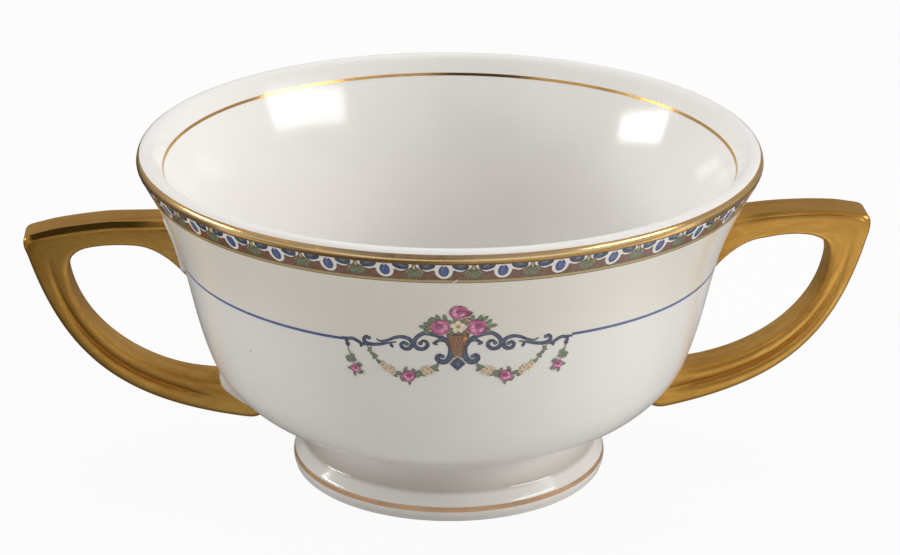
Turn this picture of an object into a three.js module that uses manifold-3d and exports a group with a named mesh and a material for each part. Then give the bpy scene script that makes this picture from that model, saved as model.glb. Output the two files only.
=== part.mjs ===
// Footed bouillon cup: a flared porcelain bowl on a turned foot, with two wing handles,
// joined by slip and dressed with gilding, a printed border, a blue line and two medallions.
// Millimetres, +Z up, origin on the table under the middle of the foot, handles along X.

import * as THREE from 'three';
import { mergeVertices } from 'three/addons/utils/BufferGeometryUtils.js';
import Module from 'manifold-3d';

const wasm = await Module();
wasm.setup();

// Bowl: rim, wall and floor. An angle is the wall's lean from upright on its way down.
const rimDiameter = 95;
const cupHeight = 52.4;
const lipThickness = 3;
const wallThickness = 2.7;
const floorThickness = 3.6;
const flareAngle = 28;
const waistDiameter = 82.6;
const waistHeight = 35.9;
const waistAngle = 14;
const heelDiameter = 74.4;
const heelHeight = 20;
const heelAngle = 21;
const baseDiameter = 62.8;
const baseHeight = 12.9;
const baseAngle = 55;

// Foot: a hollow neck that swells to a rounded ring
const footHeight = 10;
const neckDiameter = 44.4;
const neckHollow = 4.4;
const footDiameter = 49;
const footSwellHeight = 2.4;
const footSwellRise = 2.6;
const footUndercut = 0.3;
const footEdgeRounding = 0.7;
const footRestWidth = 2.2;
const footWall = 3.4;

// Handles: a level top bar, a pointed wing tip and a sweep back under the heel
const handleProjection = 18.2;
const handleThickness = 6;
const handleEdgeRounding = 0.8;
const handleDrop = 11;
const levelRun = 14;
const tipFall = 3.8;
const tipRounding = 1.6;
const topBarDepth = 3.8;
const tipWidth = 7.1;
const cornerDrop = 5;
const cornerRun = 5.6;
const rootSwellRun = 7.7;
const rootSwellEase = 2.2;
const rootSwellDrop = 6.6;
const outerArmTip = 17;
const outerArmRoot = 19;
const outerTipLean = 20;
const innerArmTip = 10;
const innerArmRoot = 11;
const rootRise = 10;
const rootTuck = 1.4;
const rootDrop = 3.6;
const lowerRootDepth = 5.9;
const fluteRadius = 0.8;
const fluteDepth = 0.45;

// Slip seams under the foot and under the handle roots
const seamThickness = 0.5;
const seamMargin = 0.4;
const seamGap = 0.15;

// Decoration: fired-on layers, each lying close on what is below it
const layerThickness = 0.12;
const layerGap = 0.05;
const bandGap = 0.2;
const gildingTopAngle = 48;
const gildingBottomAngle = -4;
const borderDrop = 3.6;
const blueLineDrop = 16.4;
const blueLineWidth = 0.5;
const innerLineDepth = 2.85;
const innerLineWidth = 0.6;
const footLineHeight = 2.4;
const footLineWidth = 0.7;
const medallionWidth = 32.5;
const medallionRise = 7.1;
const medallionTurn = 2.3;
const basketWidth = 11;
const festoonDrop = 5.2;
const scrollRise = 1.2;
const pendantDrop = 6.4;
const blueLineMargin = 0.6;

// Fineness of the turned pieces and of the curves
const segments = 48;
const curveSteps = 4;
const sweepSteps = 10;

const rimRadius = rimDiameter / 2;
const neckRadius = neckDiameter / 2;
const lipRadius = lipThickness / 2;
const lipCentre = new THREE.Vector2(rimRadius - lipRadius, cupHeight - lipRadius);
const underside = footHeight + seamThickness + 2 * seamGap;
const blueLineHeight = cupHeight - blueLineDrop;
const degrees = Math.PI / 180;

// The way a wall runs down, leaning in from upright by an angle in degrees
function lean(angle, length) {
  return new THREE.Vector2(-Math.sin(angle * degrees), -Math.cos(angle * degrees)).multiplyScalar(length);
}

// A smooth stretch of wall between two points, leaving and arriving at given leans
function wallStretch(path, fromAngle, to, toAngle) {
  const from = path.currentPoint;
  const reach = from.distanceTo(to) / 3;
  const leave = from.clone().add(lean(fromAngle, reach));
  const arrive = to.clone().sub(lean(toAngle, reach));
  path.bezierCurveTo(leave.x, leave.y, arrive.x, arrive.y, to.x, to.y);
}

// The outside of the bowl, from the crest of the lip down to the middle of its base
function bowlOutside() {
  const path = new THREE.Path();
  path.absarc(lipCentre.x, lipCentre.y, lipRadius, 90 * degrees, -flareAngle * degrees, true);
  wallStretch(path, flareAngle, new THREE.Vector2(waistDiameter / 2, waistHeight), waistAngle);
  wallStretch(path, waistAngle, new THREE.Vector2(heelDiameter / 2, heelHeight), heelAngle);
  wallStretch(path, heelAngle, new THREE.Vector2(baseDiameter / 2, baseHeight), baseAngle);
  wallStretch(path, baseAngle, new THREE.Vector2(neckRadius, underside), 90);
  path.lineTo(0, underside);
  return path.getPoints(curveSteps);
}

// The inside of the bowl, from the crest of the lip down to the middle of its floor
function bowlInside() {
  const waist = new THREE.Vector2(waistDiameter / 2 - wallThickness, waistHeight);
  const heel = new THREE.Vector2(heelDiameter / 2 - wallThickness, heelHeight);
  const floorEdge = new THREE.Vector2(neckRadius, underside + floorThickness);
  const path = new THREE.Path();
  path.absarc(lipCentre.x, lipCentre.y, lipRadius, 90 * degrees, (180 - flareAngle) * degrees, false);
  wallStretch(path, flareAngle, waist, waistAngle);
  wallStretch(path, waistAngle, heel, heelAngle);
  wallStretch(path, heelAngle, floorEdge, 90);
  path.lineTo(0, floorEdge.y);
  return path.getPoints(curveSteps);
}

// The outside of the foot, from its seat down to the face that it rests on
function footOutside() {
  const swell = new THREE.Vector2(footDiameter / 2, footSwellHeight);
  const edge = swell.x - footUndercut;
  const path = new THREE.Path();
  path.moveTo(neckRadius, footHeight);
  const hollow = footHeight - neckHollow;
  path.bezierCurveTo(neckRadius, hollow, swell.x, swell.y + footSwellRise, swell.x, swell.y);
  path.quadraticCurveTo(swell.x, (swell.y + footEdgeRounding) / 2, edge, footEdgeRounding);
  path.quadraticCurveTo(edge, 0, edge - footEdgeRounding, 0);
  return path.getPoints(curveSteps);
}

const outside = bowlOutside();
const inside = bowlInside();
const footSide = footOutside();

// A profile moved square to itself, to the left of the way it runs
function offsetProfile(points, distance) {
  return points.map((point, index) => {
    const before = points[Math.max(index - 1, 0)];
    const after = points[Math.min(index + 1, points.length - 1)];
    const along = after.clone().sub(before).normalize();
    return new THREE.Vector2(point.x - along.y * distance, point.y + along.x * distance);
  });
}

// The stretch of a falling profile between two heights
function profileBetween(points, top, bottom) {
  const cutAt = (height) => {
    const index = points.findIndex((point, i) => i > 0 && point.y <= height);
    const above = points[index - 1];
    const below = points[index];
    return above.clone().lerp(below, (above.y - height) / (above.y - below.y));
  };
  return [cutAt(top), ...points.filter((point) => point.y < top && point.y > bottom), cutAt(bottom)];
}

function turned(points) {
  return new THREE.LatheGeometry(points, segments).rotateX(90 * degrees);
}

// A thin turned layer that follows a profile between two distances from it
function layer(points, near, far) {
  const section = [...offsetProfile(points, near), ...offsetProfile(points, far).reverse()];
  return turned([...section, section[0].clone()]);
}

// A closed solid for joining and cutting, from a geometry with its shared corners merged
function solid(geometry) {
  const bare = geometry.clone();
  bare.deleteAttribute('normal');
  bare.deleteAttribute('uv');
  const merged = mergeVertices(bare);
  const corners = Array.from(merged.index.array);
  const triangles = corners.filter((corner, i) => {
    const first = i - (i % 3);
    return new Set(corners.slice(first, first + 3)).size === 3;
  });
  return new wasm.Manifold(new wasm.Mesh({
    numProp: 3,
    vertProperties: new Float32Array(merged.attributes.position.array),
    triVerts: new Uint32Array(triangles),
  }));
}

function geometryOf(shape) {
  const mesh = shape.getMesh();
  const geometry = new THREE.BufferGeometry();
  geometry.setAttribute('position', new THREE.BufferAttribute(new Float32Array(mesh.vertProperties), 3));
  geometry.setIndex(new THREE.BufferAttribute(new Uint32Array(mesh.triVerts), 1));
  geometry.computeVertexNormals();
  return geometry;
}

// All the space between two heights
function spaceBetween(low, high) {
  const wide = 4 * rimRadius;
  return solid(new THREE.BoxGeometry(wide, wide, high - low).translate(0, 0, (low + high) / 2));
}

// Everything within a distance of the bowl, filled to its axis
function bowlEnvelope(distance) {
  const profile = offsetProfile(outside, distance).reverse();
  return solid(turned([...profile, new THREE.Vector2(0, profile.at(-1).y)]));
}

// The two edges of a handle's sweep, from the tip end to the root end
const handleReach = rimRadius + handleProjection;
const handleTop = cupHeight - handleDrop;
const handleFoot = baseHeight - rootDrop;
const barUnder = handleTop - topBarDepth;
const tipTop = new THREE.Vector2(handleReach - tipRounding, handleTop - tipFall / 2);
const tipEnd = new THREE.Vector2(handleReach - tipRounding / 2, handleTop - tipFall - tipRounding);
const opening = new THREE.Vector2(handleReach - tipWidth, barUnder - cornerDrop);
const rootEnd = new THREE.Vector2(baseDiameter / 2 + rootTuck, handleFoot);
const rootTop = new THREE.Vector2(heelDiameter / 2 - rootTuck, handleFoot + lowerRootDepth);
const outerSweep = new THREE.CubicBezierCurve(
  tipEnd,
  tipEnd.clone().add(lean(outerTipLean, outerArmTip)),
  rootEnd.clone().sub(lean(90 - rootRise, outerArmRoot)),
  rootEnd,
);
const innerSweep = new THREE.CubicBezierCurve(
  opening,
  opening.clone().add(lean(rootRise / 2, innerArmTip)),
  rootTop.clone().sub(lean(90 - rootRise / 2, innerArmRoot)),
  rootTop,
);

function handleOutline() {
  const rootSide = waistDiameter / 2 - wallThickness - rootTuck;
  const tuckSide = baseDiameter / 2 - rootTuck;
  const level = handleReach - levelRun;
  const swellEnd = waistDiameter / 2;
  const shape = new THREE.Shape();
  shape.moveTo(rootSide, handleTop);
  shape.lineTo(level, handleTop);
  shape.quadraticCurveTo((level + tipTop.x) / 2, handleTop - tipFall / 8, tipTop.x, tipTop.y);
  shape.quadraticCurveTo(handleReach + tipRounding / 2, tipTop.y - tipRounding / 2, tipEnd.x, tipEnd.y);
  shape.bezierCurveTo(...[outerSweep.v1, outerSweep.v2, outerSweep.v3].flatMap((arm) => arm.toArray()));
  shape.quadraticCurveTo(tuckSide, handleFoot, tuckSide, baseHeight);
  shape.lineTo(tuckSide, rootTop.y);
  shape.lineTo(rootTop.x, rootTop.y);
  shape.bezierCurveTo(...[innerSweep.v2, innerSweep.v1, innerSweep.v0].flatMap((arm) => arm.toArray()));
  shape.quadraticCurveTo(opening.x, barUnder, opening.x - cornerRun, barUnder);
  shape.lineTo(swellEnd + rootSwellRun, barUnder);
  shape.quadraticCurveTo(swellEnd + rootSwellEase, barUnder, swellEnd, barUnder - rootSwellDrop);
  shape.lineTo(rootSide, barUnder - rootSwellDrop);
  shape.closePath();
  return shape;
}

// A handle's blank with rounded edges, grown all round by a margin, its roots left long
function handleBlank(margin) {
  const edge = handleEdgeRounding;
  const blank = new THREE.ExtrudeGeometry(handleOutline(), {
    depth: handleThickness + 2 * (margin - edge),
    curveSegments: sweepSteps,
    bevelSegments: 2,
    bevelThickness: edge,
    bevelSize: edge,
    bevelOffset: margin - edge,
  });
  return blank.rotateX(90 * degrees).translate(0, handleThickness / 2 + margin - edge, 0);
}

// The hollow that runs along one side of the sweep, halfway between its edges
function flute(side) {
  const across = side * (handleThickness / 2 + fluteRadius - fluteDepth);
  const points = [];
  for (let step = 1; step < sweepSteps; step++) {
    const part = step / sweepSteps;
    const middle = outerSweep.getPoint(part).add(innerSweep.getPoint(part)).divideScalar(2);
    points.push(new THREE.Vector3(middle.x, across, middle.y));
  }
  const section = new THREE.Shape();
  section.absarc(0, 0, fluteRadius, 0, 360 * degrees, false);
  return new THREE.ExtrudeGeometry(section, {
    steps: sweepSteps,
    curveSegments: 4,
    extrudePath: new THREE.CatmullRomCurve3(points),
  });
}

// Handles face along X: the right one as drawn, the left one turned half round
const sides = { right: 0, left: 180 };
const seatDistance = seamThickness + 2 * seamGap;
const midHandle = (handleTop + handleFoot) / 2;
const farAway = 2 * handleReach;

function handle(angle) {
  const cuts = [flute(1), flute(-1)].map((cut) => solid(cut.rotateZ(angle * degrees)));
  const blank = solid(handleBlank(0).rotateZ(angle * degrees));
  return geometryOf(blank.subtract(cuts[0]).subtract(cuts[1]).subtract(bowlEnvelope(seatDistance)));
}

// The slip under one handle root: a pad on the bowl, a little larger than the root
function rootSeam(angle, low, high) {
  const profile = profileBetween(outside, handleTop + 2 * seamMargin, underside + seamMargin);
  const shell = solid(layer(profile, seamGap, seamGap + seamThickness));
  const root = solid(handleBlank(seamMargin).rotateZ(angle * degrees));
  return geometryOf(shell.intersect(root).intersect(spaceBetween(low, high)));
}

function footRing() {
  const rest = footSide.at(-1).x - footRestWidth;
  const innerSide = [new THREE.Vector2(neckRadius - footWall, footHeight), new THREE.Vector2(rest, 0)];
  const section = [...innerSide, ...footSide.toReversed()];
  return turned([...section, section[0].clone()]);
}

function footSeam() {
  const low = footHeight + seamGap;
  const section = [
    new THREE.Vector2(neckRadius - footWall, low),
    new THREE.Vector2(neckRadius, low),
    new THREE.Vector2(neckRadius, low + seamThickness),
    new THREE.Vector2(neckRadius - footWall, low + seamThickness),
  ];
  return turned([...section, section[0].clone()]);
}

// Heights on the outside where one band of decoration ends and the next begins
const lipHeight = (angle) => lipCentre.y + lipRadius * Math.sin(angle * degrees);
const gildingBottom = lipHeight(gildingBottomAngle);
const borderTop = gildingBottom - bandGap;
const borderBottom = borderTop - borderDrop;
const groundBottom = blueLineHeight + blueLineWidth / 2 + bandGap;

function band(points, top, bottom) {
  return layer(profileBetween(points, top, bottom), layerGap, layerGap + layerThickness);
}

function line(points, height, width) {
  return band(points, height + width / 2, height - width / 2);
}

function insideLine(height, width) {
  const profile = profileBetween(inside, height + width / 2, height - width / 2);
  return layer(profile, -layerGap - layerThickness, -layerGap);
}

// A layer on the outside stops short of the slip round each handle root
function clearOfRoots(shape) {
  const roots = Object.values(sides).map((angle) => (
    solid(handleBlank(seamMargin + bandGap).rotateZ(angle * degrees))
  ));
  return shape.subtract(roots[0]).subtract(roots[1]);
}

// The outline of a medallion: a basket of flowers between two hanging garlands
function medallionOutline() {
  const top = blueLineHeight + medallionRise;
  const scroll = blueLineHeight + scrollRise;
  const hang = blueLineHeight - festoonDrop;
  const half = medallionWidth / 2;
  const basket = basketWidth / 2;
  const middle = (half + basket) / 2;
  const shape = new THREE.Shape();
  shape.moveTo(0, blueLineHeight - pendantDrop);
  shape.lineTo(basket, hang + scrollRise);
  shape.quadraticCurveTo(middle, hang - scrollRise, half, hang + scrollRise);
  shape.lineTo(half, scroll);
  shape.lineTo(basket, scroll);
  shape.quadraticCurveTo(basket, top, 0, top);
  shape.quadraticCurveTo(-basket, top, -basket, scroll);
  shape.lineTo(-half, scroll);
  shape.lineTo(-half, hang + scrollRise);
  shape.quadraticCurveTo(-middle, hang - scrollRise, -basket, hang + scrollRise);
  shape.closePath();
  return shape;
}

// A medallion lies over the ivory ground, so it stands one layer further out
function medallion(angle) {
  const near = 2 * layerGap + layerThickness;
  const top = blueLineHeight + medallionRise + bandGap;
  const bottom = blueLineHeight - pendantDrop - bandGap;
  const shell = solid(layer(profileBetween(outside, top, bottom), near, near + layerThickness));
  const cutter = new THREE.ExtrudeGeometry(medallionOutline(), { depth: farAway, bevelEnabled: false });
  cutter.rotateX(90 * degrees).rotateZ(angle * degrees);
  return geometryOf(shell.intersect(solid(cutter)));
}

// One quarter of the blue line, between a handle root and the end of a medallion
function blueLineQuarter(sideX, sideY) {
  const half = medallionWidth / 2 + blueLineMargin;
  const gap = new THREE.BoxGeometry(2 * half, farAway, farAway).rotateZ(-medallionTurn * degrees);
  const quarter = new THREE.BoxGeometry(farAway, farAway, farAway);
  quarter.translate(sideX * farAway / 2, sideY * farAway / 2, 0);
  const ring = clearOfRoots(solid(line(outside, blueLineHeight, blueLineWidth)));
  return geometryOf(ring.subtract(solid(gap)).intersect(solid(quarter)));
}

// Finishes
const porcelain = { color: 0xe9e5df, roughness: 0.12, metalness: 0 };
const slip = { color: 0xe4dfd8, roughness: 0.2, metalness: 0 };
const ivory = { color: 0xe6dfcc, roughness: 0.14, metalness: 0 };
const satinGold = { color: 0xb8893c, roughness: 0.35, metalness: 1 };
const brightGold = { color: 0xc08f45, roughness: 0.2, metalness: 1 };
const blueEnamel = { color: 0x5f78ac, roughness: 0.2, metalness: 0 };
const borderEnamel = { color: 0x6d6170, roughness: 0.2, metalness: 0 };
const flowerEnamel = { color: 0xb59a8c, roughness: 0.2, metalness: 0 };

const cup = new THREE.Group();

function addPiece(name, geometry, finish) {
  const piece = new THREE.Mesh(geometry, new THREE.MeshStandardMaterial(finish));
  piece.name = name;
  cup.add(piece);
}

addPiece('bowl', turned([...outside.toReversed(), ...inside.slice(1)]), porcelain);
addPiece('foot_ring', footRing(), porcelain);
addPiece('foot_seam', footSeam(), slip);
for (const [side, angle] of Object.entries(sides)) {
  addPiece(`handle_${side}`, handle(angle), satinGold);
  addPiece(`handle_${side}_upper_seam`, rootSeam(angle, midHandle, cupHeight), slip);
  addPiece(`handle_${side}_lower_seam`, rootSeam(angle, 0, midHandle), slip);
}
addPiece('rim_gilding', band(outside, lipHeight(gildingTopAngle), gildingBottom), brightGold);
addPiece('border_print', band(outside, borderTop, borderBottom), borderEnamel);
const ground = clearOfRoots(solid(band(outside, borderBottom - bandGap, groundBottom)));
addPiece('ivory_ground', geometryOf(ground), ivory);
addPiece('inner_gilt_line', insideLine(cupHeight - innerLineDepth, innerLineWidth), brightGold);
addPiece('foot_gilt_line', line(footSide, footLineHeight, footLineWidth), brightGold);
addPiece('blue_line_front_left', blueLineQuarter(-1, -1), blueEnamel);
addPiece('blue_line_front_right', blueLineQuarter(1, -1), blueEnamel);
addPiece('blue_line_back_left', blueLineQuarter(-1, 1), blueEnamel);
addPiece('blue_line_back_right', blueLineQuarter(1, 1), blueEnamel);
addPiece('medallion_front', medallion(-medallionTurn), flowerEnamel);
addPiece('medallion_back', medallion(180 - medallionTurn), flowerEnamel);

export default cup;
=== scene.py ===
import math
from bisect import bisect_left

import bmesh
import bpy
from mathutils import Matrix, Vector
from mathutils.geometry import interpolate_bezier


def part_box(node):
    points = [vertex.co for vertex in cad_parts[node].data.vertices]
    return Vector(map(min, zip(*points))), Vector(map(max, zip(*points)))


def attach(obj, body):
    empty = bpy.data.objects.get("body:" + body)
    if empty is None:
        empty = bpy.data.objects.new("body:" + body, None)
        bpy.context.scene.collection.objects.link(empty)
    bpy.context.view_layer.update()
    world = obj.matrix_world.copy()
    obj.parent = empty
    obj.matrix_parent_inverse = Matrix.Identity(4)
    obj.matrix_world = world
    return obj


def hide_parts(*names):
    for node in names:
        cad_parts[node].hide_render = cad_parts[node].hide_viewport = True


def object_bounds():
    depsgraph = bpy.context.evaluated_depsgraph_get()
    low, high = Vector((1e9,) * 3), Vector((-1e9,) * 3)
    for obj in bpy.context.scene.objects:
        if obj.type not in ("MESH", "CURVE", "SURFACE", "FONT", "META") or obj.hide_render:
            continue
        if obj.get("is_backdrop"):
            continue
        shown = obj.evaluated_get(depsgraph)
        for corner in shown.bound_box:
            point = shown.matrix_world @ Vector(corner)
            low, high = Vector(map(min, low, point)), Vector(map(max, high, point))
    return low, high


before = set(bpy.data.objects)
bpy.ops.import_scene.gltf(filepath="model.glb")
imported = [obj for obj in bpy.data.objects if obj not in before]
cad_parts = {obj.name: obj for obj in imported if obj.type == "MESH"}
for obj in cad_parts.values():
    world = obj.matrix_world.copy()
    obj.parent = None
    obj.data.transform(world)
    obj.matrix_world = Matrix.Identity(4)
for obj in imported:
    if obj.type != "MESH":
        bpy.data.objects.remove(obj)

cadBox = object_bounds()
mm = 0.001
scene = bpy.context.scene
mergeDistance = 0.0005 * mm
crispAngle = 50  # degrees, past which the edges of a thin layer stay sharp
print("frame loaded:", len(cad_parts), "nodes")


# node trees

def plug(tree, value, socket):
    if isinstance(value, bpy.types.NodeSocket):
        tree.links.new(value, socket)
    else:
        socket.default_value = value


def addNode(tree, kind, values=None, **settings):
    made = tree.nodes.new(kind)
    for name, value in settings.items():
        setattr(made, name, value)
    for name, value in (values or {}).items():
        plug(tree, value, made.inputs[name])
    return made


def objectPlace(tree):
    return addNode(tree, "ShaderNodeTexCoord").outputs["Object"]


def splitPlace(tree, place):
    return addNode(tree, "ShaderNodeSeparateXYZ", {"Vector": place}).outputs


def layerValue(tree, layer, output="Fac"):
    return addNode(tree, "ShaderNodeAttribute", attribute_name=layer).outputs[output]


def noiseFactor(tree, place, scale, detail=2.0, roughness=0.5):
    values = {"Vector": place, "Scale": scale, "Detail": detail, "Roughness": roughness}
    return addNode(tree, "ShaderNodeTexNoise", values).outputs["Fac"]


def calculate(tree, operation, first, second, clamp=False):
    made = addNode(tree, "ShaderNodeMath", operation=operation, use_clamp=clamp)
    plug(tree, first, made.inputs[0])
    plug(tree, second, made.inputs[1])
    return made.outputs[0]


def times(tree, first, second, clamp=False):
    return calculate(tree, "MULTIPLY", first, second, clamp)


def plus(tree, first, second, clamp=False):
    return calculate(tree, "ADD", first, second, clamp)


def minus(tree, first, second):
    return calculate(tree, "SUBTRACT", first, second)


def between(tree, value, span, result=(0.0, 1.0)):
    values = {"Value": value, "From Min": span[0], "From Max": span[1],
              "To Min": result[0], "To Max": result[1]}
    return addNode(tree, "ShaderNodeMapRange", values).outputs["Result"]


def mixValue(tree, factor, first, second):
    values = {"Factor": factor, "A": first, "B": second}
    return addNode(tree, "ShaderNodeMix", values, data_type="FLOAT").outputs[0]


def mixColour(tree, factor, first, second):
    made = addNode(tree, "ShaderNodeMix", data_type="RGBA")
    plug(tree, factor, made.inputs["Factor"])
    plug(tree, first, made.inputs[6])
    plug(tree, second, made.inputs[7])
    return made.outputs[2]


# an input's kind follows from its start: none for a place, four numbers for a colour, else one number
def startGroup(name, inputs):
    group = bpy.data.node_groups.new(name, "ShaderNodeTree")
    for label, start in inputs.items():
        kind = "Vector" if start is None else "Color" if isinstance(start, tuple) else "Float"
        socket = group.interface.new_socket(label, in_out="INPUT", socket_type="NodeSocket" + kind)
        if start is not None:
            socket.default_value = start
    return group, group.nodes.new("NodeGroupInput").outputs


def endGroup(group, colour, roughness, height):
    for label, kind in (("Colour", "Color"), ("Roughness", "Float"), ("Height", "Float")):
        group.interface.new_socket(label, in_out="OUTPUT", socket_type="NodeSocket" + kind)
    result = group.nodes.new("NodeGroupOutput").inputs
    for label, socket in (("Colour", colour), ("Roughness", roughness), ("Height", height)):
        group.links.new(socket, result[label])
    return group


# the glaze: faint clouding, a few firing specks and the soft ripple of a poured coat
glazeLook = {
    "poolSpan": (0.35, 0.75),
    "speckScale": 95.0,
    "speckEdge": (0.010, 0.022),
    "speckStrength": 0.55,
    "speckColour": (0.16, 0.13, 0.10, 1),
    "rippleScale": 110.0,
    "peelScale": 520.0,
    "peelShare": 0.12,
    "dullSpan": (0.3, 0.8),
    "dulling": (0.0, 0.03),
}


def makeGlazeSkin():
    look = glazeLook
    group, given = startGroup("glazeSkin", {
        "Place": None, "Colour": (0.8, 0.8, 0.8, 1), "Pooled": (0.7, 0.7, 0.7, 1),
        "Cloud Scale": 40.0, "Speck Share": 0.2, "Roughness": 0.11})
    place = given["Place"]
    cloud = noiseFactor(group, place, given["Cloud Scale"], 4.0, 0.6)
    pooled = mixColour(group, between(group, cloud, look["poolSpan"]), given["Colour"], given["Pooled"])
    cells = addNode(group, "ShaderNodeTexVoronoi", {"Vector": place, "Scale": look["speckScale"]})
    chosen = addNode(group, "ShaderNodeSeparateColor", {"Color": cells.outputs["Color"]}).outputs[0]
    dot = between(group, cells.outputs["Distance"], look["speckEdge"], (1.0, 0.0))
    speck = times(group, dot, calculate(group, "LESS_THAN", chosen, given["Speck Share"]))
    coloured = mixColour(group, times(group, speck, look["speckStrength"]), pooled, look["speckColour"])
    ripple = noiseFactor(group, place, look["rippleScale"], 1.0)
    peel = times(group, noiseFactor(group, place, look["peelScale"], 1.0), look["peelShare"])
    rough = plus(group, given["Roughness"], between(group, cloud, look["dullSpan"], look["dulling"]))
    return endGroup(group, coloured, rough, minus(group, plus(group, ripple, peel), speck))


# gold: fine satin grain, clouded burnishing, hairline scratches and thin places where it has rubbed; where
# burnished it is also painted darker, a painted dark reflection
goldLook = {
    "scratchStretch": (1.0, 0.3, 9.0),
    "scratchTurn": (0.3, 0.5, 0.2),
    "scratchScale": 420.0,
    "scratchSpan": (0.66, 0.74),
    "scratchTone": 0.35,
    "scratchDepth": 0.5,
    "rubbedSpan": (0.32, 0.72),
    "burnishShading": 0.2,
    "burnishShadeColour": (0.11, 0.055, 0.012, 1),
    "burnishGloss": 0.84,
    "grainSpan": (0.35, 0.7),
    "grainTone": (0.0, 0.30),
    "grainColour": (0.30, 0.15, 0.03, 1),
    "dullSpan": (0.3, 0.7),
    "grainDulling": (-0.04, 0.06),
    "cloudDulling": (0.03, -0.05),
}


def makeGoldSkin():
    look = goldLook
    group, given = startGroup("goldSkin", {
        "Place": None, "Colour": (0.6, 0.35, 0.08, 1), "Rubbed": (0.6, 0.4, 0.15, 1),
        "Grain Scale": 2600.0, "Cloud Scale": 120.0, "Roughness": 0.35, "Burnish": 0.0})
    place, burnish = given["Place"], given["Burnish"]
    grain = noiseFactor(group, place, given["Grain Scale"], 3.0, 0.65)
    cloud = noiseFactor(group, place, given["Cloud Scale"], 5.0, 0.62)
    turned = {"Vector": place, "Rotation": look["scratchTurn"], "Scale": look["scratchStretch"]}
    drawn = addNode(group, "ShaderNodeMapping", turned).outputs[0]
    scratch = between(group, noiseFactor(group, drawn, look["scratchScale"], 2.0, 0.6), look["scratchSpan"])
    bare = between(group, cloud, look["rubbedSpan"])
    rubbed = plus(group, bare, times(group, scratch, look["scratchTone"]), True)
    coloured = mixColour(group, rubbed, given["Colour"], given["Rubbed"])
    # painted dark reflection: burnished places are mixed toward dark brown
    deep = mixColour(group, times(group, burnish, look["burnishShading"]), coloured, look["burnishShadeColour"])
    grained = between(group, grain, look["grainSpan"], look["grainTone"])
    toned = mixColour(group, grained, deep, look["grainColour"])
    satin = plus(group, given["Roughness"], between(group, grain, look["dullSpan"], look["grainDulling"]))
    cloudy = plus(group, satin, between(group, cloud, look["dullSpan"], look["cloudDulling"]))
    kept = minus(group, 1.0, times(group, burnish, look["burnishGloss"]))
    raised = minus(group, grain, times(group, scratch, look["scratchDepth"]))
    return endGroup(group, toned, times(group, cloudy, kept), raised)


# enamel: a brushed colour that is thinner in places, with a slightly raised, glassy surface
enamelLook = {"thinSpan": (0.35, 0.75), "dullSpan": (0.3, 0.7), "dulling": (-0.03, 0.05)}


def makeEnamelSkin():
    look = enamelLook
    group, given = startGroup("enamelSkin", {
        "Place": None, "Colour": (0.2, 0.2, 0.4, 1), "Thin": (0.5, 0.5, 0.6, 1),
        "Brush Scale": 1500.0, "Thinning": 0.3, "Roughness": 0.15})
    brush = noiseFactor(group, given["Place"], given["Brush Scale"], 3.0, 0.6)
    thinned = times(group, between(group, brush, look["thinSpan"]), given["Thinning"])
    coloured = mixColour(group, thinned, given["Colour"], given["Thin"])
    rough = plus(group, given["Roughness"], between(group, brush, look["dullSpan"], look["dulling"]))
    return endGroup(group, coloured, rough, brush)


glazeSkin = makeGlazeSkin()
goldSkin = makeGoldSkin()
enamelSkin = makeEnamelSkin()
layerOutput = {"Place": "Vector", "Colour": "Color", "Burnish": "Fac"}


# layers names the mesh's own layers that drive an input of the skin
def skinMaterial(name, skin, values, bump, metallic=0.0, edgeTint=None, layers=None):
    material = bpy.data.materials.new(name)
    material.use_nodes = True
    tree = material.node_tree
    shader = tree.nodes["Principled BSDF"]
    made = addNode(tree, "ShaderNodeGroup", node_tree=skin)
    inputs = {"Place": objectPlace(tree), **values}
    for label, layer in (layers or {}).items():
        inputs[label] = layerValue(tree, layer, layerOutput[label])
    for label, value in inputs.items():
        plug(tree, value, made.inputs[label])
    tree.links.new(made.outputs["Colour"], shader.inputs["Base Color"])
    tree.links.new(made.outputs["Roughness"], shader.inputs["Roughness"])
    relief = addNode(tree, "ShaderNodeBump", {"Strength": bump[0], "Distance": bump[1]})
    tree.links.new(made.outputs["Height"], relief.inputs["Height"])
    tree.links.new(relief.outputs["Normal"], shader.inputs["Normal"])
    shader.inputs["Metallic"].default_value = metallic
    if edgeTint:
        shader.inputs["Specular Tint"].default_value = edgeTint
    return material


finish = {
    "porcelain": ((0.86, 0.84, 0.81, 1), (0.83, 0.805, 0.77, 1)),
    # painted shade: the foot's glaze is the porcelain's, painted a little darker for the foot under the
    # bowl
    "foot": ((0.83, 0.805, 0.77, 1), (0.80, 0.77, 0.73, 1)),
    # the painted shade of the foot's crease
    "creasePaintedShade": (0.56, 0.52, 0.47, 1),
    "slip": ((0.86, 0.84, 0.81, 1), (0.78, 0.75, 0.71, 1)),
    "ivory": ((0.84, 0.81, 0.73, 1), (0.81, 0.775, 0.69, 1)),
    "satinGold": ((0.46, 0.22, 0.036, 1), (0.82, 0.49, 0.13, 1)),
    "rimGold": ((0.80, 0.50, 0.17, 1), (0.70, 0.40, 0.16, 1)),
    "lineGold": ((0.76, 0.49, 0.29, 1), (0.52, 0.32, 0.19, 1)),
    "goldEdge": (1.0, 0.92, 0.76, 1),
    # the colour of the painted highlight line on the rim's band
    "paintedHighlightGold": (1.0, 0.80, 0.46, 1),
    "wornGold": (0.34, 0.235, 0.155, 1),
    "thinEnamel": (0.72, 0.68, 0.62, 1),
}


def glazeMaterial(name, key, speckShare):
    colour, pooled = finish[key]
    values = {"Colour": colour, "Pooled": pooled, "Speck Share": speckShare}
    return skinMaterial(name, glazeSkin, values, (0.25, 0.02 * mm))


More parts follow.
